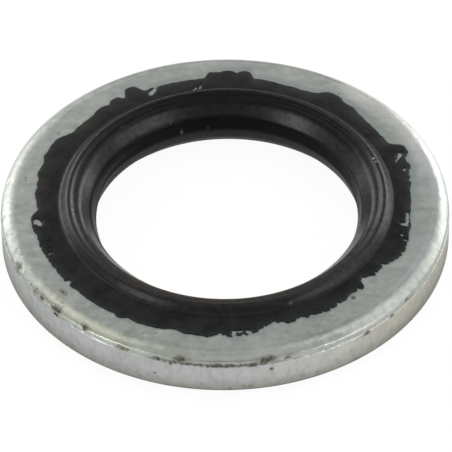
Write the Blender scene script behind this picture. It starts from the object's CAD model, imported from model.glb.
import math

import bmesh
import bpy
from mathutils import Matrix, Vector, kdtree, noise


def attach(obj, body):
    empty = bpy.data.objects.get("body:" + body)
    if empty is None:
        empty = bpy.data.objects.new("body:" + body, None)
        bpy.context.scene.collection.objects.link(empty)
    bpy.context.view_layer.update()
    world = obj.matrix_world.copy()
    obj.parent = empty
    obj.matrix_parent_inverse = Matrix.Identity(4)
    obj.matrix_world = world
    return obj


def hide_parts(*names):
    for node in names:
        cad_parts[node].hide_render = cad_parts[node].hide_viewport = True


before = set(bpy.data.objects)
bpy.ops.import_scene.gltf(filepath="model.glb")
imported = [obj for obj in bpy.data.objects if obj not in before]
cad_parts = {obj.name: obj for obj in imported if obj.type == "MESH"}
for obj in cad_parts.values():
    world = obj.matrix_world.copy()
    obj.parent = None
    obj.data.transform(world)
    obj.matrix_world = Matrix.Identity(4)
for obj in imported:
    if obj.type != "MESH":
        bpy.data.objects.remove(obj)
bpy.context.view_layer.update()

scene = bpy.context.scene
scene.view_settings.view_transform = "Standard"


# ---------------------------------------------------------------- camera
# A long lens, 180 mm from the washer, looks down on it from the front. The washer's
# own axis is upright, its rolled edge and its flash are on the upper side.
MM = 0.001  # the scene is in metres, the sizes of the washer are written in millimetres
LENS_DISTANCE = 180
LOOK_DOWN = math.radians(42.98)
HORIZON_ROLL = 0.014  # radians
WASHER_MIDDLE = Vector((0, 0, 1.27))

camera_data = bpy.data.cameras.new("camera")
camera_data.sensor_width = 36
camera_data.lens = 357.03
camera_data.shift_x = 0.002
camera_data.shift_y = -0.0216  # the washer sits a little high in the frame
camera_data.clip_start = 0.01
camera_data.clip_end = 20
camera = bpy.data.objects.new("camera", camera_data)
backwards = Vector((0, -math.cos(LOOK_DOWN), math.sin(LOOK_DOWN)))
camera.location = (WASHER_MIDDLE + LENS_DISTANCE * backwards) * MM
camera.rotation_euler = (math.pi / 2 - LOOK_DOWN, 0, 0)
camera.rotation_euler.rotate_axis("Z", -HORIZON_ROLL)
scene.collection.objects.link(camera)
scene.camera = camera


# ---------------------------------------------------------------- rubber seal
# Nitrile lip moulded into the ring's bore, with the same crest on both sides. On the
# upper side a torn skin of flash crept out over the steel. It is turned from its
# section in one piece, then the flash is pulled out to its torn edge and holed.
STEEL_BOTTOM = 0.37
STEEL_TOP = 2.12
STEEL_BORE = 6.75
LAND = 5.23  # narrowest radius, at the mould's parting line
PARTING = 1.27
THROAT = (5.40, 1.80)
SHELF = (5.89, 2.365)  # inner edge of the narrow shelf inside the crest
CREST_HEEL = (6.12, 2.375)
CREST = (6.33, 2.553)
FOOT = (6.68, 2.19)
LOW_FOOT = (6.73, 0.38)
LOW_CREST = (6.33, -0.063)
LOW_CREST_HEEL = (6.12, 0.115)
LOW_SHELF = (5.89, 0.12)
LOW_THROAT = (5.40, 0.70)
FLASH_NECK = 6.95
FLASH_REACH = 7.45
FLASH_TOP = 2.19
FLASH_UNDER = STEEL_TOP - 0.01  # sunk a little into the steel, so that no gap shows
CREST_ROUND = 0.17
LIP_SHIFT = 0.06  # the mould's core stood this far off the ring's centre, along +X
SHIFT_START = 6.65  # the shift is whole inside this radius
SHIFT_END = 6.90  # and gone outside this one
LAND_HALF = 0.015  # half the length of the land
LAND_WEAR_END = 5.30  # the wear does not reach further out than this radius
FINE_STEPS = 9  # each step of a coarse spin is cut into this many
SEAL_STEPS = 1026  # a multiple of FINE_STEPS

# where the land is worn back: azimuth, half width in degrees, depth
LAND_WEAR = ((151, 14, 0.06), (3, 20, 0.04))

# the flash's torn edge: azimuth, reach and half width of each lobe or bite
FLASH_LOBES = (
    (10, .12, 5), (15.5, .26, 2.6), (21.5, .50, 3.2), (32, -.05, 5), (50, .17, 7), (54.5, .20, 3.8),
    (67, -.09, 7), (83.2, .42, 2.4), (88.5, .42, 2.8), (93.2, .34, 2.2), (119.4, .47, 2.6),
    (126, .22, 2.2), (132, .12, 3), (154, .34, 6), (163, .22, 5), (173, .17, 8), (188.5, .34, 4.5),
    (200, .32, 8), (213, .27, 6), (228, .30, 12), (237.5, .15, 1.8), (247, .26, 7), (261, .28, 6),
    (266, .10, 2.5), (272, .30, 4), (277.5, .17, 2.2), (285, -.18, 3.2), (293, -.10, 1.6), (303, .08, 3),
    (312, -.12, 2.2), (320, -.30, 2.6), (326, -.13, 3), (337, .26, 5.5), (345.5, .12, 4),
    (216.5, -.22, .9), (267.9, -.11, .7),
)
# stretches that tore along fine combs: azimuth, half width in degrees, depth
FLASH_COMBS = ((312, 30, .15), (206, 16, .06), (272, 8, .10), (12, 8, .08))
COMB_FINENESS = 52
FRAY_FINENESS = 22
FRAY_DEPTH = 0.035  # the edge is frayed this deep everywhere
# places where it tore through to the steel: azimuth, radius, half length, half width,
# and the turn of its length from the ring's direction towards the outside
FLASH_HOLES = (
    (19.7, 7.53, .20, .13, 30), (18.0, 7.33, .18, .07, 50), (14.3, 7.00, .06, .04, 0),
    (12.9, 7.45, .13, .06, 20), (99.7, 6.88, .17, .07, 150), (97.9, 6.94, .16, .06, 110),
    (113.8, 7.23, .34, .12, 142), (188.2, 7.61, .17, .15, 0), (189.4, 7.50, .16, .12, 0),
    (203.2, 7.56, .10, .06, 60), (272.1, 7.62, .20, .11, 90), (273.6, 7.50, .20, .075, 0),
    (276.5, 7.56, .14, .13, 0), (341.0, 7.55, .16, .05, 95), (347.8, 7.29, .18, .10, 100),
    (350.4, 7.37, .37, .08, -5),
)
HOLE_RAGGED = 0.35  # share of a hole's size by which its outline strays
HOLE_FINENESS = 6
HOLE_SLOPE = 3  # how sharply the flash drops to the steel round a hole
HOLE_DEPTH = 0.006  # a torn patch lies this far under the steel's face, out of sight
SKIN_WAVE = 0.004  # the flash is uneven by this much
SKIN_FINENESS = 2.5
EDGE_FADE = 0.3  # the pale rim along the torn edge fades out over this width
# light specks of dust on the lip and in the bore: azimuth, radius, height, size
DUST = (
    (292.3, 6.57, 2.24, .05), (296.0, 6.57, 2.24, .035), (109.2, 5.30, 1.40, .05), (97.1, 5.30, 1.38, .03),
    (139.0, 6.21, 2.40, .03), (186.9, 6.15, 2.40, .04), (18.4, 6.33, 2.48, .04), (16.4, 6.36, 2.48, .03),
    (342.4, 7.35, 2.19, .035), (134.6, 5.95, 2.28, .05), (131.0, 5.90, 2.25, .03),
)


def lathe(corners, steps):
    """Spin a closed section round the washer's axis. A corner is a radius, a height, the
    offset of its round, and the longest edge wanted on the side that follows it."""
    shape = bmesh.new()
    wanted = shape.edges.layers.float.new("wanted_length")
    points = [shape.verts.new((r * MM, 0, z * MM)) for r, z, rounding, length in corners]
    for start, end, corner in zip(points, points[1:] + points[:1], corners):
        shape.edges.new((start, end))[wanted] = corner[3] * MM
    for point, corner in zip(points, corners):
        if corner[2]:
            bmesh.ops.bevel(shape, geom=[point], offset=corner[2] * MM, offset_type="OFFSET",
                            segments=6, profile=0.5, affect="VERTICES", material=-1)
    for side in shape.edges[:]:
        if side[wanted] and side.calc_length() > side[wanted]:
            cuts = int(side.calc_length() / side[wanted])
            bmesh.ops.subdivide_edges(shape, edges=[side], cuts=cuts)
    # a coarse spin, then each step is cut finer and its chords are pushed out to the circle
    coarse = steps // FINE_STEPS
    bmesh.ops.spin(shape, geom=shape.verts[:] + shape.edges[:], cent=(0, 0, 0), axis=(0, 0, 1),
                   dvec=(0, 0, 0), angle=math.tau, steps=coarse, use_merge=True, use_duplicate=False)
    around = []
    for edge in shape.edges:
        a, b = (math.atan2(v.co.y, v.co.x) for v in edge.verts)
        if abs(math.sin(a - b)) > 0.5 * math.sin(math.tau / coarse):
            around.append(edge)
    bmesh.ops.subdivide_edges(shape, edges=around, cuts=FINE_STEPS - 1)
    half_step = math.pi / coarse
    for vert in shape.verts:
        turn = math.atan2(vert.co.y, vert.co.x) % (2 * half_step) - half_step
        stretch = math.cos(turn) / math.cos(half_step)
        vert.co.x *= stretch
        vert.co.y *= stretch
    bmesh.ops.recalc_face_normals(shape, faces=shape.faces[:])
    for face in shape.faces:
        face.smooth = True
    shape.normal_update()
    return shape


def polar(vert):
    """Radius, azimuth in degrees and height of a vertex, in millimetres."""
    radius = math.hypot(vert.co.x, vert.co.y) / MM
    return radius, math.degrees(math.atan2(vert.co.y, vert.co.x)) % 360, vert.co.z / MM


def ring_point(azimuth, radius, height):
    """The place in metres of an azimuth in degrees, and a radius and height in millimetres."""
    angle = math.radians(azimuth)
    return Vector((radius * math.cos(angle), radius * math.sin(angle), height)) * MM


def off_centre(azimuth, centre):
    """Angle in degrees from one azimuth to another, by the shorter way."""
    return (azimuth - centre + 180) % 360 - 180


def swell(azimuth, centre, half_width, power=4):
    """1 at the middle of a stretch of the ring, falling to 0 past its half width."""
    return math.exp(-((off_centre(azimuth, centre) / half_width) ** power))


def rough_noise(spot, octaves):
    """Noise with finer and finer octaves, the same for the same spot."""
    return noise.fractal(spot, 1.0, 2.0, octaves)


def flash_edge(azimuth):
    """Radius of the flash's torn edge at an azimuth in degrees."""
    radius = FLASH_REACH
    for centre, reach, half_width in FLASH_LOBES:
        radius += reach * swell(azimuth, centre, half_width)
    spot = ring_point(azimuth, 1, 0) / MM
    radius += FRAY_DEPTH * rough_noise(spot * FRAY_FINENESS, 4)
    for centre, half_width, depth in FLASH_COMBS:
        teeth = 2 * max(0, noise.noise(spot * COMB_FINENESS))
        radius -= swell(azimuth, centre, half_width) * depth * teeth
    return radius


def torn_through(azimuth, radius):
    """1 where the flash tore through to the steel, 0 where it is whole."""
    torn = 0
    ragged = HOLE_RAGGED * noise.noise(ring_point(azimuth, radius, 0) / MM * HOLE_FINENESS)
    for centre, middle, half_length, half_width, turn in FLASH_HOLES:
        along = math.radians(off_centre(azimuth, centre)) * radius
        outward = radius - middle
        turn = math.radians(turn)
        length = (along * math.cos(turn) + outward * math.sin(turn)) / half_length
        width = (outward * math.cos(turn) - along * math.sin(turn)) / half_width
        inside = 1 - math.hypot(length, width) - ragged
        torn = max(torn, min(1, 0.5 + HOLE_SLOPE * inside))
    return torn


def point_lookup(shape):
    """A tree of a shape's vertices, to find those near a place."""
    lookup = kdtree.KDTree(len(shape.verts))
    shape.verts.ensure_lookup_table()
    for vert in shape.verts:
        lookup.insert(vert.co, vert.index)
    lookup.balance()
    return lookup


def finish_piece(name, shape, material):
    """Make the object of a finished shape, with its one material."""
    mesh = bpy.data.meshes.new(name)
    shape.to_mesh(mesh)
    shape.free()
    mesh.materials.append(material)
    piece = bpy.data.objects.new(name, mesh)
    scene.collection.objects.link(piece)
    return piece


seal = lathe([
    (LAND, PARTING - LAND_HALF, 0, 0),
    (LAND, PARTING + LAND_HALF, 0, 0.11),
    (*THROAT, 0.03, 0.1),
    (*SHELF, 0.13, 0.1),
    (*CREST_HEEL, 0.09, 0.1),
    (*CREST, CREST_ROUND, 0.08),
    (*FOOT, 0.08, 0.05),
    (FLASH_NECK, FLASH_TOP, 0, 0.042),
    (FLASH_REACH, FLASH_TOP - 0.02, 0.02, 0),
    (FLASH_REACH, FLASH_UNDER, 0, 0),
    (STEEL_BORE, FLASH_UNDER, 0, 0),
    (STEEL_BORE, STEEL_BOTTOM, 0, 0),
    (*LOW_FOOT, 0, 0.2),
    (*LOW_CREST, CREST_ROUND, 0.2),
    (*LOW_CREST_HEEL, 0, 0.2),
    (*LOW_SHELF, 0.13, 0.25),
    (*LOW_THROAT, 0, 0.2),
], SEAL_STEPS)

dust = seal.verts.layers.float.new("dust")
torn_edge = seal.verts.layers.float.new("torn_edge")
for vert in seal.verts:
    radius, azimuth, height = polar(vert)
    if radius > STEEL_BORE and height > FLASH_UNDER - 0.01:
        edge = flash_edge(azimuth)
        if radius > FLASH_NECK:
            share = (radius - FLASH_NECK) / (FLASH_REACH - FLASH_NECK)
            radius = FLASH_NECK + share * (edge - FLASH_NECK)
        vert[torn_edge] = math.exp((radius - edge) / EDGE_FADE)
        if height > STEEL_TOP:
            spot = ring_point(azimuth, radius, 0) / MM
            height += SKIN_WAVE * noise.noise(spot * SKIN_FINENESS)
            height += torn_through(azimuth, radius) * (STEEL_TOP - HOLE_DEPTH - height)
    elif radius < LAND_WEAR_END:
        for centre, half_width, depth in LAND_WEAR:
            radius += depth * swell(azimuth, centre, half_width, 2)
    vert.co = ring_point(azimuth, radius, height)
    shifted = min(1, max(0, (SHIFT_END - radius) / (SHIFT_END - SHIFT_START)))
    vert.co.x += LIP_SHIFT * MM * shifted
seal.normal_update()

lookup = point_lookup(seal)
for azimuth, radius, height, size in DUST:
    centre = ring_point(azimuth, radius, height)
    for spot, index, distance in lookup.find_range(centre, 3 * size * MM):
        vert = seal.verts[index]
        vert[dust] = max(vert[dust], math.exp(-((distance / size / MM) ** 2)))


def add_node(tree, kind, sockets, **settings):
    """Add a shader node. A socket given as a value is linked, any other value is set."""
    node = tree.nodes.new("ShaderNode" + kind)
    for key, value in settings.items():
        setattr(node, key, value)
    for key, value in sockets.items():
        if isinstance(value, bpy.types.NodeSocket):
            tree.links.new(value, node.inputs[key])
        else:
            node.inputs[key].default_value = value
    return node


def new_material(name):
    """Start a material. Returns it with its node tree and its shader."""
    material = bpy.data.materials.new(name)
    material.use_nodes = True
    return material, material.node_tree, material.node_tree.nodes["Principled BSDF"]


def new_group(name, inputs, output):
    """Start a node group that puts out one value. Returns it with the sockets of what it is
    given and the socket that takes its result."""
    group = bpy.data.node_groups.new(name, "ShaderNodeTree")
    for socket, kind in inputs.items():
        group.interface.new_socket(name=socket, in_out="INPUT", socket_type="NodeSocket" + kind)
    group.interface.new_socket(name=output, in_out="OUTPUT", socket_type="NodeSocketFloat")
    given = group.nodes.new("NodeGroupInput").outputs
    return group, given, group.nodes.new("NodeGroupOutput").inputs[output]


def use_group(tree, group, sockets):
    """Place a node group in a material and return what it puts out."""
    node = tree.nodes.new("ShaderNodeGroup")
    node.node_tree = group
    for key, value in sockets.items():
        if isinstance(value, bpy.types.NodeSocket):
            tree.links.new(value, node.inputs[key])
        else:
            node.inputs[key].default_value = value
    return node.outputs[0]


def between(tree, value, start, end, low=0.0, high=1.0):
    """Map a value from one range to another, and hold it at the ends."""
    return add_node(tree, "MapRange", {"Value": value, "From Min": start, "From Max": end,
                                       "To Min": low, "To Max": high}).outputs["Result"]


def maths(tree, operation, first, second):
    """Work out one value from two."""
    return add_node(tree, "Math", {0: first, 1: second}, operation=operation).outputs[0]


def times(tree, first, *others):
    """Multiply values or masks."""
    for other in others:
        first = maths(tree, "MULTIPLY", first, other)
    return first


def blend(tree, share, first, second):
    """Mix two colours by a share."""
    node = add_node(tree, "Mix", {"Factor": share}, data_type="RGBA")
    for slot, colour in ((6, first), (7, second)):
        if isinstance(colour, bpy.types.NodeSocket):
            tree.links.new(colour, node.inputs[slot])
        else:
            node.inputs[slot].default_value = (*colour, 1)
    return node.outputs[2]


def tint(tree, colour, new_colour, *masks):
    """Lay a new colour over a colour, as strongly as the product of the masks."""
    return blend(tree, times(tree, *masks), colour, new_colour)


# mottling: noise spread over a range of values. Its scale, like that of the specks, is in
# cells to the metre.
grain_inputs = {"Place": "Vector", "Scale": "Float", "Detail": "Float", "Low": "Float", "High": "Float"}
grain_group, given, result = new_group("grain", grain_inputs, "Value")
cloud = add_node(grain_group, "TexNoise", {"Vector": given["Place"], "Scale": given["Scale"],
                                           "Detail": given["Detail"]}).outputs["Fac"]
spread = between(grain_group, cloud, 0.3, 0.7, given["Low"], given["High"])
grain_group.links.new(spread, result)

# specks: ragged spots scattered in some of the cells of a lattice
specks_inputs = {"Place": "Vector", "Scale": "Float", "Size": "Float", "Share": "Float"}
specks_group, given, result = new_group("specks", specks_inputs, "Mask")
cells = add_node(specks_group, "TexVoronoi", {"Vector": given["Place"], "Scale": given["Scale"]})
chance = add_node(specks_group, "SeparateColor", {0: cells.outputs["Color"]})
picked = maths(specks_group, "LESS_THAN", chance.outputs["Red"], given["Share"])
size_share = between(specks_group, chance.outputs["Green"], 0, 1, 0.4, 1.2)
reach = times(specks_group, given["Size"], size_share)
inner_reach = times(specks_group, reach, 0.5)
rough_scale = times(specks_group, given["Scale"], 6)
rough = add_node(specks_group, "TexNoise", {"Vector": given["Place"], "Scale": rough_scale})
stray = between(specks_group, rough.outputs["Fac"], 0.3, 0.7, 0.6, 1.5)
distance = times(specks_group, cells.outputs["Distance"], stray)
spot = between(specks_group, distance, reach, inner_reach)
specks_group.links.new(times(specks_group, spot, picked), result)


def grain(tree, place, scale, detail, low=0, high=1):
    """Mottled values between a low and a high one."""
    return use_group(tree, grain_group, {"Place": place, "Scale": scale, "Detail": detail,
                                         "Low": low, "High": high})


def specks(tree, place, scale, size, share):
    """Mask of specks of a size, as a share of a cell, in a share of the cells."""
    return use_group(tree, specks_group, {"Place": place, "Scale": scale, "Size": size,
                                          "Share": share})


def attribute(tree, name):
    """A value that the vertices of the piece carry."""
    return add_node(tree, "Attribute", {}, attribute_name=name).outputs["Fac"]


def scaled(tree, place, factors):
    """A place with its x, y and z multiplied by factors."""
    return add_node(tree, "VectorMath", {0: place, 1: factors}, operation="MULTIPLY").outputs[0]


# colours, as linear red, green and blue
MOULDED_DARK = (0.0015, 0.0015, 0.0016)
MOULDED_LIGHT = (0.0045, 0.0042, 0.0038)
SKIN_DARK = (0.0015, 0.0015, 0.0015)
SKIN_LIGHT = (0.016, 0.016, 0.015)
SKIN_CLOUD = (0.005, 0.0055, 0.0065)
EDGE_NEAR = (0.020, 0.024, 0.027)
EDGE_FAR = (0.040, 0.040, 0.033)
BROWN_BLOOM = (0.038, 0.021, 0.010)
GREY_LINT = (0.12, 0.11, 0.10)
PALE_DUST = (0.50, 0.47, 0.38)

BUMP_DEPTH = 0.03  # of the fine bumps, on both materials

rubber, tree, rubber_shader = new_material("nitrile_rubber")
place = add_node(tree, "TexCoord", {}).outputs["Object"]
flat_place = scaled(tree, place, (1, 1, 0))
radius = add_node(tree, "VectorMath", {0: flat_place}, operation="LENGTH").outputs["Value"]
along_y = add_node(tree, "SeparateXYZ", {0: place}).outputs["Y"]
on_flash = between(tree, radius, 6.60 * MM, 6.72 * MM)
dusty = attribute(tree, "dust")
at_edge = attribute(tree, "torn_edge")
fine = grain(tree, place, scale=1500, detail=5)
broad = grain(tree, place, scale=500, detail=3)

moulded = blend(tree, fine, MOULDED_DARK, MOULDED_LIGHT)
# the flash is greyer, and paler along its torn edge, most of all on the far side
skin = blend(tree, fine, SKIN_DARK, SKIN_LIGHT)
skin = tint(tree, skin, SKIN_CLOUD, broad, 0.5)
edge_colour = blend(tree, between(tree, along_y, -4 * MM, 2 * MM), EDGE_NEAR, EDGE_FAR)
narrowing = between(tree, along_y, -4 * MM, 3 * MM, 2.5, 1.4)
at_edge = maths(tree, "POWER", at_edge, narrowing)
skin = tint(tree, skin, edge_colour, at_edge, between(tree, fine, 0, 1, 0.5, 1))
colour = blend(tree, on_flash, moulded, skin)
# brown bloom on the near side of the bore's mouth, along the shelf's inner edge
bore_mouth = times(tree, between(tree, radius, 6.12 * MM, 5.90 * MM),
                   between(tree, radius, 5.66 * MM, 5.80 * MM),
                   between(tree, along_y, -3 * MM, -5 * MM))
colour = blend(tree, bore_mouth, colour, BROWN_BLOOM)
lint = specks(tree, place, scale=3600, size=0.17, share=0.3)
colour = tint(tree, colour, GREY_LINT, lint, between(tree, broad, 0.45, 0.9, 0, 0.6))
colour = blend(tree, dusty, colour, PALE_DUST)
tree.links.new(colour, rubber_shader.inputs["Base Color"])

# the rubber shines least in the bore, on the flash, on the shelf's far side and under bloom
bore_shine = between(tree, radius, 5.4 * MM, 5.5 * MM, 0.10, 0.65)
lip_shine = between(tree, radius, 5.7 * MM, 6.0 * MM, bore_shine, 0.62)
far_shelf = times(tree, between(tree, radius, 5.72 * MM, 5.82 * MM),
                  between(tree, radius, 6.30 * MM, 6.22 * MM),
                  between(tree, along_y, 1.2 * MM, 4.0 * MM))
lip_shine = times(tree, lip_shine, between(tree, far_shelf, 0, 1, 1, 0.35),
                  between(tree, bore_mouth, 0, 1, 1, 0.65))
shine = between(tree, on_flash, 0, 1, lip_shine, 0.22)
patchy = grain(tree, place, scale=4500, detail=6, low=0.7, high=1.25)
tree.links.new(times(tree, shine, patchy), rubber_shader.inputs["Coat Weight"])
rubber_shader.inputs["Coat Roughness"].default_value = 0.3
rubber_shader.inputs["Roughness"].default_value = 0.45
rubber_shader.inputs["Specular IOR Level"].default_value = 0.05
texture = grain(tree, place, scale=5000, detail=5)
bumps = add_node(tree, "Bump", {"Strength": 0.3, "Distance": BUMP_DEPTH * MM, "Height": texture})
tree.links.new(bumps.outputs["Normal"], rubber_shader.inputs["Normal"])

rubber_seal = finish_piece("nitrile_seal", seal, rubber)
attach(rubber_seal, "root")
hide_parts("rubber_seal")


# ---------------------------------------------------------------- steel ring
# Ring punched from 1.75 mm steel strip and zinc plated. The punch drew its upper
# edge down into a rolled shoulder, tore a crease below it and sheared the wall.
WALL_RADIUS = 8.99
ROLL_START = 8.30
ROLL_FOOT = 8.93
ROLL_DROP = 0.205
ROLL_POWER = 2.6
CREASE_HEIGHT = 1.70
CREASE_RADIUS = 8.95
WALL_HEAD = 1.66
BURR_ROUND = 0.08
PUNCH_TILT = 0.075  # the crease lies lower at +X and higher at -X by this much
DEEP_ROLL = 0.19  # and lower by up to this much where the punch drew the edge deepest
DEEP_SIDE = 110  # azimuth of that place
CREASE_WANDER = 0.015  # the crease strays up and down by this much
CREASE_FINENESS = 9
TEAR_HEAD = 1.83  # the metal is torn between the wall's head and this height
TEAR_DEPTH = 0.03
TEAR_FINENESS = 30
RING_STEPS = 972  # a multiple of FINE_STEPS

# dirt in the crease: azimuth and half width in degrees of the stretch that it fills, and
# of the one where more of it clings in patches
PACKED_DIRT = (266, 16)
PATCHY_DIRT = (208, 20)
PATCH_FINENESS = 14
DIRT_HEIGHT = 1.73
DIRT_REACH = 0.11  # it thins out over this much above and below

# pits and dents: azimuth, radius, height, half length along the ring, half width,
# depth, and how dark the dirt in it is
PITS = (
    (213.2, 8.95, 1.89, .12, .06, .03, .7), (215.9, 8.94, 1.87, .11, .06, .03, .8),
    (221.7, 8.92, 1.90, .20, .10, .035, .8), (221.7, 9.00, 1.70, .15, .05, .02, .9),
    (231.7, 8.91, 1.91, .13, .08, .035, .9), (243.1, 8.98, 1.77, .20, .07, .03, .7),
    (252.4, 9.00, 1.75, .14, .06, .03, .9), (256.0, 9.00, 1.63, .05, .05, .02, .9),
    (258.5, 8.93, 1.88, .16, .09, .03, 1.), (270.9, 9.00, 1.75, .12, .05, .02, .8),
    (279.9, 8.95, 1.86, .22, .10, .03, .9), (281.1, 9.00, 1.40, .05, .06, .02, .8),
    (285.2, 8.98, 1.83, .10, .06, .02, .6), (307.3, 9.00, 1.63, .11, .06, .02, .9),
    (316.2, 9.00, 1.69, .08, .05, .02, .8), (323.6, 8.98, 1.80, .12, .05, .02, .6),
    (322.1, 8.96, 1.86, .08, .06, .02, .5), (193.2, 8.99, 1.78, .12, .08, .03, .3),
    (199.4, 9.00, 1.77, .10, .08, .03, .3), (203.4, 8.90, 1.91, .14, .09, .035, .5),
    (183.8, 8.89, 1.95, .10, .08, .02, .2), (170.8, 8.80, 2.02, .12, .08, .02, .2),
    (219.0, 8.20, 2.12, .13, .07, .01, .8), (169.2, 8.15, 2.12, .04, .04, .01, .6),
    (170.4, 8.11, 2.12, .03, .04, .01, .6), (160.5, 8.71, 2.10, .05, .05, .01, .5),
    (148.2, 7.92, 2.12, .04, .04, .01, .6), (116.3, 8.76, 2.09, .05, .04, .01, .5),
    (246.8, 8.17, 2.12, .03, .04, .01, .7), (249.9, 8.01, 2.12, .05, .03, .01, .5),
    (251.8, 9.00, 0.97, .03, .04, .01, .8), (311.2, 7.55, 2.12, .07, .07, .01, 1.),
)
PIT_SPREAD = 1.5  # at this many times its half sizes a pit is a third of its depth
PIT_RAGGED = 0.5  # share of a pit's size by which its outline strays
PIT_FINENESS = 8
# pits outside this radius and above this height sink with the crease
BY_CREASE = (8.85, 1.5)


def crease_drop(azimuth):
    """How much lower the crease lies at an azimuth than at the near side."""
    deep = (0.5 + 0.5 * math.cos(math.radians(azimuth - DEEP_SIDE))) ** 2
    return PUNCH_TILT * math.cos(math.radians(azimuth)) + DEEP_ROLL * deep


ROLL_POINTS = 15
shoulder = []
for i in range(1, ROLL_POINTS + 1):
    t = i / ROLL_POINTS
    roll_radius = ROLL_START + (ROLL_FOOT - ROLL_START) * t
    shoulder.append((roll_radius, STEEL_TOP - ROLL_DROP * t ** ROLL_POWER, 0, 0.05))
ring = lathe([
    (STEEL_BORE, STEEL_BOTTOM, 0, 0.3),
    (WALL_RADIUS, STEEL_BOTTOM, BURR_ROUND, 0.075),
    (WALL_RADIUS, WALL_HEAD, 0.02, 0),
    # torn metal on both sides of the crease
    (8.98, WALL_HEAD + 0.03, 0.01, 0),
    (CREASE_RADIUS, CREASE_HEIGHT, 0, 0.03),
    (8.975, 1.77, 0.02, 0),
    (8.965, 1.825, 0.012, 0.03),
    *reversed(shoulder),
    (ROLL_START, STEEL_TOP, 0, 0.075),
    (STEEL_BORE, STEEL_TOP, 0, 0),
], RING_STEPS)

pit_dirt = ring.verts.layers.float.new("pit_dirt")
flash_gap = ring.verts.layers.float.new("flash_gap")
crease_dirt = ring.verts.layers.float.new("crease_dirt")
for vert in ring.verts:
    radius, azimuth, height = polar(vert)
    spot = ring_point(azimuth, 1, 0) / MM
    vert[flash_gap] = radius - flash_edge(azimuth)
    if radius > ROLL_START:
        dirt = 1.1 * swell(azimuth, *PACKED_DIRT) - 0.1
        patches = 0.9 + 0.9 * swell(azimuth, *PATCHY_DIRT)
        dirt += patches * max(0, rough_noise(spot * PATCH_FINENESS, 4))
        vert[crease_dirt] = dirt * math.exp(-(((height - DIRT_HEIGHT) / DIRT_REACH) ** 2))
        if height > CREASE_HEIGHT:
            share = (STEEL_TOP - height) / (STEEL_TOP - CREASE_HEIGHT)
        else:
            share = (height - STEEL_BOTTOM) / (CREASE_HEIGHT - STEEL_BOTTOM)
        wander = crease_drop(azimuth) + CREASE_WANDER * rough_noise(spot * CREASE_FINENESS, 3)
        vert.co.z -= share * wander * MM
        if radius > CREASE_RADIUS and WALL_HEAD < height < TEAR_HEAD:
            vert.co -= TEAR_DEPTH * max(0, rough_noise(spot * TEAR_FINENESS, 3)) * spot * MM
ring.normal_update()

lookup = point_lookup(ring)
for azimuth, radius, height, half_length, half_width, depth, dirt in PITS:
    centre = ring_point(azimuth, radius, height)
    if radius > BY_CREASE[0] and height > BY_CREASE[1]:
        centre.z -= crease_drop(azimuth) * MM
    along = Vector((-math.sin(math.radians(azimuth)), math.cos(math.radians(azimuth)), 0))
    for spot, index, distance in lookup.find_range(centre, 4 * max(half_length, half_width) * MM):
        vert = ring.verts[index]
        offset = (spot - centre) / MM
        run = offset.dot(along)
        rise = (offset - run * along).length
        reach = math.hypot(run / half_length, rise / half_width) / PIT_SPREAD
        reach += PIT_RAGGED * noise.noise(spot / MM * PIT_FINENESS)
        hollow = math.exp(-max(0, reach) ** 3)
        vert.co -= vert.normal * depth * hollow * MM
        vert[pit_dirt] = max(vert[pit_dirt], dirt * hollow)

# colours of the plating, and of the wear and dirt on it
ZINC_DARK = (0.315, 0.352, 0.315)
ZINC_LIGHT = (0.44, 0.467, 0.43)
ZINC_CLOUD = (0.475, 0.48, 0.465)
STRIP_MARK = (0.33, 0.35, 0.34)
CREAM = (0.53, 0.54, 0.42)
LAVENDER = (0.54, 0.53, 0.55)
BRIGHT_ZINC = (0.56, 0.56, 0.53)
STRAW = (0.50, 0.48, 0.39)
OLIVE = (0.40, 0.405, 0.325)
SCUFF = (0.20, 0.19, 0.155)
DULL_ZINC = (0.30, 0.33, 0.325)
PALE_CLOUD = (0.67, 0.67, 0.64)
BLUE = (0.50, 0.565, 0.585)
DIM_GREEN = (0.27, 0.345, 0.33)
SCORE = (0.31, 0.305, 0.315)
WORN_FLECK = (0.22, 0.21, 0.19)
CREASE_BROWN = (0.18, 0.17, 0.155)
PIT_HAZE = (0.28, 0.27, 0.22)
PIT_BROWN = (0.21, 0.20, 0.17)
BLACK_SPECK = (0.10, 0.09, 0.08)

zinc, tree, zinc_shader = new_material("zinc_plate")
place = add_node(tree, "TexCoord", {}).outputs["Object"]
flat_place = scaled(tree, place, (1, 1, 0))
radius = add_node(tree, "VectorMath", {0: flat_place}, operation="LENGTH").outputs["Value"]
around = add_node(tree, "VectorMath", {0: flat_place}, operation="NORMALIZE").outputs[0]
height = add_node(tree, "SeparateXYZ", {0: place}).outputs["Z"]
pitted = attribute(tree, "pit_dirt")
dirt_share = attribute(tree, "crease_dirt")
gap = attribute(tree, "flash_gap")


def facing(tree, azimuth, start, end):
    """1 on the side of the ring that faces an azimuth, fading between two angles from it."""
    angle = math.radians(azimuth)
    towards = add_node(tree, "VectorMath", {0: around, 1: (math.cos(angle), math.sin(angle), 0)},
                       operation="DOT_PRODUCT").outputs["Value"]
    return between(tree, towards, math.cos(math.radians(end)), math.cos(math.radians(start)))


mottle = grain(tree, place, scale=3200, detail=6, low=-0.15, high=1.15)
cloudy = grain(tree, place, scale=420, detail=3)
colour = blend(tree, mottle, ZINC_DARK, ZINC_LIGHT)
colour = tint(tree, colour, ZINC_CLOUD, cloudy, 0.6)
# marks of the strip's rolling, on its flat face
on_flat = between(tree, height, 2.09 * MM, 2.12 * MM)
drawn_out = scaled(tree, place, (0.25, 1, 1))
strip_marks = grain(tree, drawn_out, scale=3200, detail=5, low=-0.5, high=0.65)
colour = tint(tree, colour, STRIP_MARK, strip_marks, on_flat)
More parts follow.
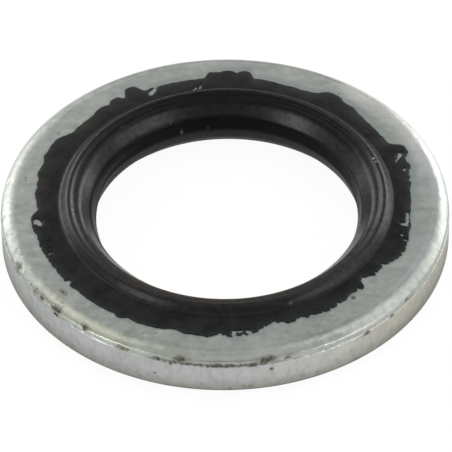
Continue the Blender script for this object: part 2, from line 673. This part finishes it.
# the plating's tints: cream on the near left shoulder, and round the near wall lavender,
# a bright patch and straw
on_roll = times(tree, between(tree, radius, 8.38 * MM, 8.55 * MM),
                between(tree, height, 1.76 * MM, 1.82 * MM))
colour = tint(tree, colour, CREAM, on_roll, facing(tree, 232, 5, 32),
              between(tree, height, 1.90 * MM, 1.98 * MM), between(tree, cloudy, 0, 1, 0.3, 0.8))
on_wall = between(tree, height, 1.74 * MM, 1.68 * MM)
colour = tint(tree, colour, LAVENDER, on_wall, facing(tree, 248, 20, 60), 0.42)
colour = tint(tree, colour, BRIGHT_ZINC, on_wall, facing(tree, 304, 12, 28), 0.7)
colour = tint(tree, colour, STRAW, on_wall, facing(tree, 332, 10, 38), 0.7)
# the foot of the wall is olive and scuffed
colour = tint(tree, colour, OLIVE, between(tree, height, 0.90 * MM, 0.45 * MM),
              between(tree, mottle, 0, 1, 0.5, 1))
scuffs = specks(tree, place, scale=3800, size=0.4, share=0.5)
colour = tint(tree, colour, SCUFF, scuffs, between(tree, height, 1.00 * MM, 0.55 * MM, 0, 0.6))
# duller where the flash's edge was pressed, on the far and right sides
colour = tint(tree, colour, DULL_ZINC, between(tree, gap, 0.45, 0.2), facing(tree, 55, 45, 80),
              between(tree, cloudy, 0, 1, 0.5, 0.9))
# a paler cloud of plating on the far right, from the flash to the shoulder
colour = tint(tree, colour, PALE_CLOUD, between(tree, radius, 7.8 * MM, 8.3 * MM),
              facing(tree, 34, 12, 26), between(tree, cloudy, 0, 1, 0.5, 1))
# a blue band where the right shoulder begins
colour = tint(tree, colour, BLUE, between(tree, radius, 8.22 * MM, 8.34 * MM),
              between(tree, radius, 8.56 * MM, 8.44 * MM), facing(tree, 350, 15, 40),
              between(tree, cloudy, 0, 1, 0.2, 0.7))
# a dim green fringe along the flash's torn edge, weaker under the flash
colour = tint(tree, colour, DIM_GREEN, between(tree, gap, 0.16, 0.0),
              between(tree, gap, -0.3, -0.05, 0.5, 1), between(tree, cloudy, 0, 1, 0.2, 0.8))
# sheared wall: short upright scores
upright = scaled(tree, place, (1, 1, 0.45))
scores = grain(tree, upright, scale=4200, detail=5, low=-0.25, high=0.4)
colour = tint(tree, colour, SCORE, scores, on_wall)
# worn flecks on the left shoulder, dirt in the crease and in the pits, fine black specks
flecks = specks(tree, place, scale=4800, size=0.45, share=0.5)
colour = tint(tree, colour, WORN_FLECK, flecks, on_roll, facing(tree, 200, 15, 42), 0.65)
crumbs = grain(tree, place, scale=7000, detail=4, low=0.3, high=1.3)
packed = between(tree, times(tree, dirt_share, crumbs), 0.2, 0.8, 0, 0.9)
colour = blend(tree, packed, colour, CREASE_BROWN)
colour = blend(tree, between(tree, pitted, 0.01, 0.3, 0, 0.6), colour, PIT_HAZE)
dirty = between(tree, times(tree, pitted, crumbs), 0.12, 0.6)
colour = blend(tree, dirty, colour, PIT_BROWN)
black_specks = specks(tree, place, scale=1700, size=0.08, share=0.22)
colour = tint(tree, colour, BLACK_SPECK, black_specks, 0.7)
tree.links.new(colour, zinc_shader.inputs["Base Color"])

# dirt is duller than the plating
shine = grain(tree, place, scale=900, detail=4, low=0.31, high=0.44)
roughness = maths(tree, "MAXIMUM", shine, maths(tree, "MAXIMUM", packed, dirty))
tree.links.new(roughness, zinc_shader.inputs["Roughness"])
zinc_shader.inputs["Metallic"].default_value = 1
# faint upright ripples on the near right shoulder, then the plating's orange peel over the
# whole ring, stronger on the shoulder
at_shoulder = between(tree, radius, 8.3 * MM, 8.5 * MM)
ripples = grain(tree, around, scale=90, detail=2)
ripples = times(tree, ripples, at_shoulder, facing(tree, 318, 12, 40))
rippled = add_node(tree, "Bump", {"Strength": 0.12, "Distance": BUMP_DEPTH * MM, "Height": ripples})
peel = grain(tree, place, scale=2200, detail=5)
peel = times(tree, peel, between(tree, at_shoulder, 0, 1, 0.8, 1.3))
bumps = add_node(tree, "Bump", {"Strength": 0.3, "Distance": BUMP_DEPTH * MM, "Height": peel,
                                "Normal": rippled.outputs["Normal"]})
tree.links.new(bumps.outputs["Normal"], zinc_shader.inputs["Normal"])

steel_ring = finish_piece("zinc_steel_ring", ring, zinc)
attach(steel_ring, "root")
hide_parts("steel_ring")


# ---------------------------------------------------------------- floor and light
# A plain white table that the washer lies on, in a soft grey room. Soft boxes and dimmer
# panels stand all round the washer, for its plating and its rubber to mirror.

# name, azimuth and elevation in degrees, width and height in millimetres, radiance
SOFT_BOXES = (
    ("left_box", 133, 20, 200, 160, 2.85),
    ("left_back_panel", 116, 34, 120, 100, 0.85),
    ("back_panel", 90, 32, 160, 120, 0.6),
    ("right_back_box", 50, 26, 160, 120, 1.2),
    ("right_box", 45, 13, 220, 130, 2.9),
    ("right_panel", 2, 38, 200, 200, 0.93),
    ("left_high_panel", 150, 62, 140, 160, 1.2),
    ("right_high_panel", 30, 62, 140, 160, 1.25),
    ("left_low_panel", 180, 8, 240, 100, 0.74),
    ("front_left_box", 216, 24, 100, 100, 8.2),
    ("front_left_side_box", 200, 22, 100, 100, 0.78),
    ("front_right_box", 324, 22, 100, 120, 5.2),
    ("front_right_side_box", 345, 16, 100, 100, 1.6),
    ("front_high_panel", 270, 68, 200, 120, 0.66),
)
BOX_DISTANCE = 300
TABLE_HALF = 1000
TABLE_DROP = 0.01  # the table lies this far under the washer
TABLE_GLOW = 0.94  # it glows this white to the camera
TABLE_LIT = 0.08  # and is lit by this much more, which the washer's shadow takes away
ROOM_GREY = 0.34

floor_shape = bmesh.new()
bmesh.ops.create_grid(floor_shape, x_segments=1, y_segments=1, size=TABLE_HALF * MM)
table, tree, table_shader = new_material("table")
floor = finish_piece("table", floor_shape, table)
floor.location.z = -TABLE_DROP * MM
table_shader.inputs["Base Color"].default_value = (0.8, 0.8, 0.8, 1)
table_shader.inputs["Roughness"].default_value = 0.9
# to the camera and in mirrors the table glows white, to all else it is plain
path = add_node(tree, "LightPath", {}).outputs
mirrored = maths(tree, "MAXIMUM", path["Is Glossy Ray"], path["Is Transmission Ray"])
seen = maths(tree, "MAXIMUM", path["Is Camera Ray"], mirrored)
# the washer's contact shadow, as its wall and its lip mirror it
place = add_node(tree, "TexCoord", {}).outputs["Object"]
radius = add_node(tree, "VectorMath", {0: place}, operation="LENGTH").outputs["Value"]
in_bore = between(tree, radius, 5.5 * MM, 5.9 * MM, 1, 0.1)
outside = between(tree, radius, 8.7 * MM, 10.1 * MM)
in_mirror = times(tree, maths(tree, "MAXIMUM", in_bore, outside), mirrored)
white = maths(tree, "MAXIMUM", path["Is Camera Ray"], in_mirror)
glow = add_node(tree, "Emission", {"Strength": times(tree, white, TABLE_GLOW)})
shade = add_node(tree, "BsdfDiffuse", {"Color": (TABLE_LIT, TABLE_LIT, TABLE_LIT, 1)})
lit = add_node(tree, "AddShader", {0: glow.outputs[0], 1: shade.outputs[0]})
pick = add_node(tree, "MixShader", {0: seen, 1: table_shader.outputs[0], 2: lit.outputs[0]})
tree.links.new(pick.outputs[0], tree.nodes["Material Output"].inputs["Surface"])

room = bpy.data.worlds.new("room")
scene.world = room
room.use_nodes = True
background = room.node_tree.nodes["Background"]
background.inputs["Color"].default_value = (ROOM_GREY, ROOM_GREY, ROOM_GREY, 1)

for name, azimuth, elevation, width, tall, radiance in SOFT_BOXES:
    lamp = bpy.data.lights.new(name, "AREA")
    lamp.shape = "RECTANGLE"
    lamp.size = width * MM
    lamp.size_y = tall * MM
    lamp.energy = radiance * math.pi * lamp.size * lamp.size_y
    box = bpy.data.objects.new(name, lamp)
    turn = math.radians(azimuth)
    lift = math.radians(elevation)
    towards = Vector((math.cos(lift) * math.cos(turn), math.cos(lift) * math.sin(turn), math.sin(lift)))
    box.location = BOX_DISTANCE * MM * towards
    box.rotation_euler = towards.to_track_quat("Z", "Y").to_euler()
    scene.collection.objects.link(box)
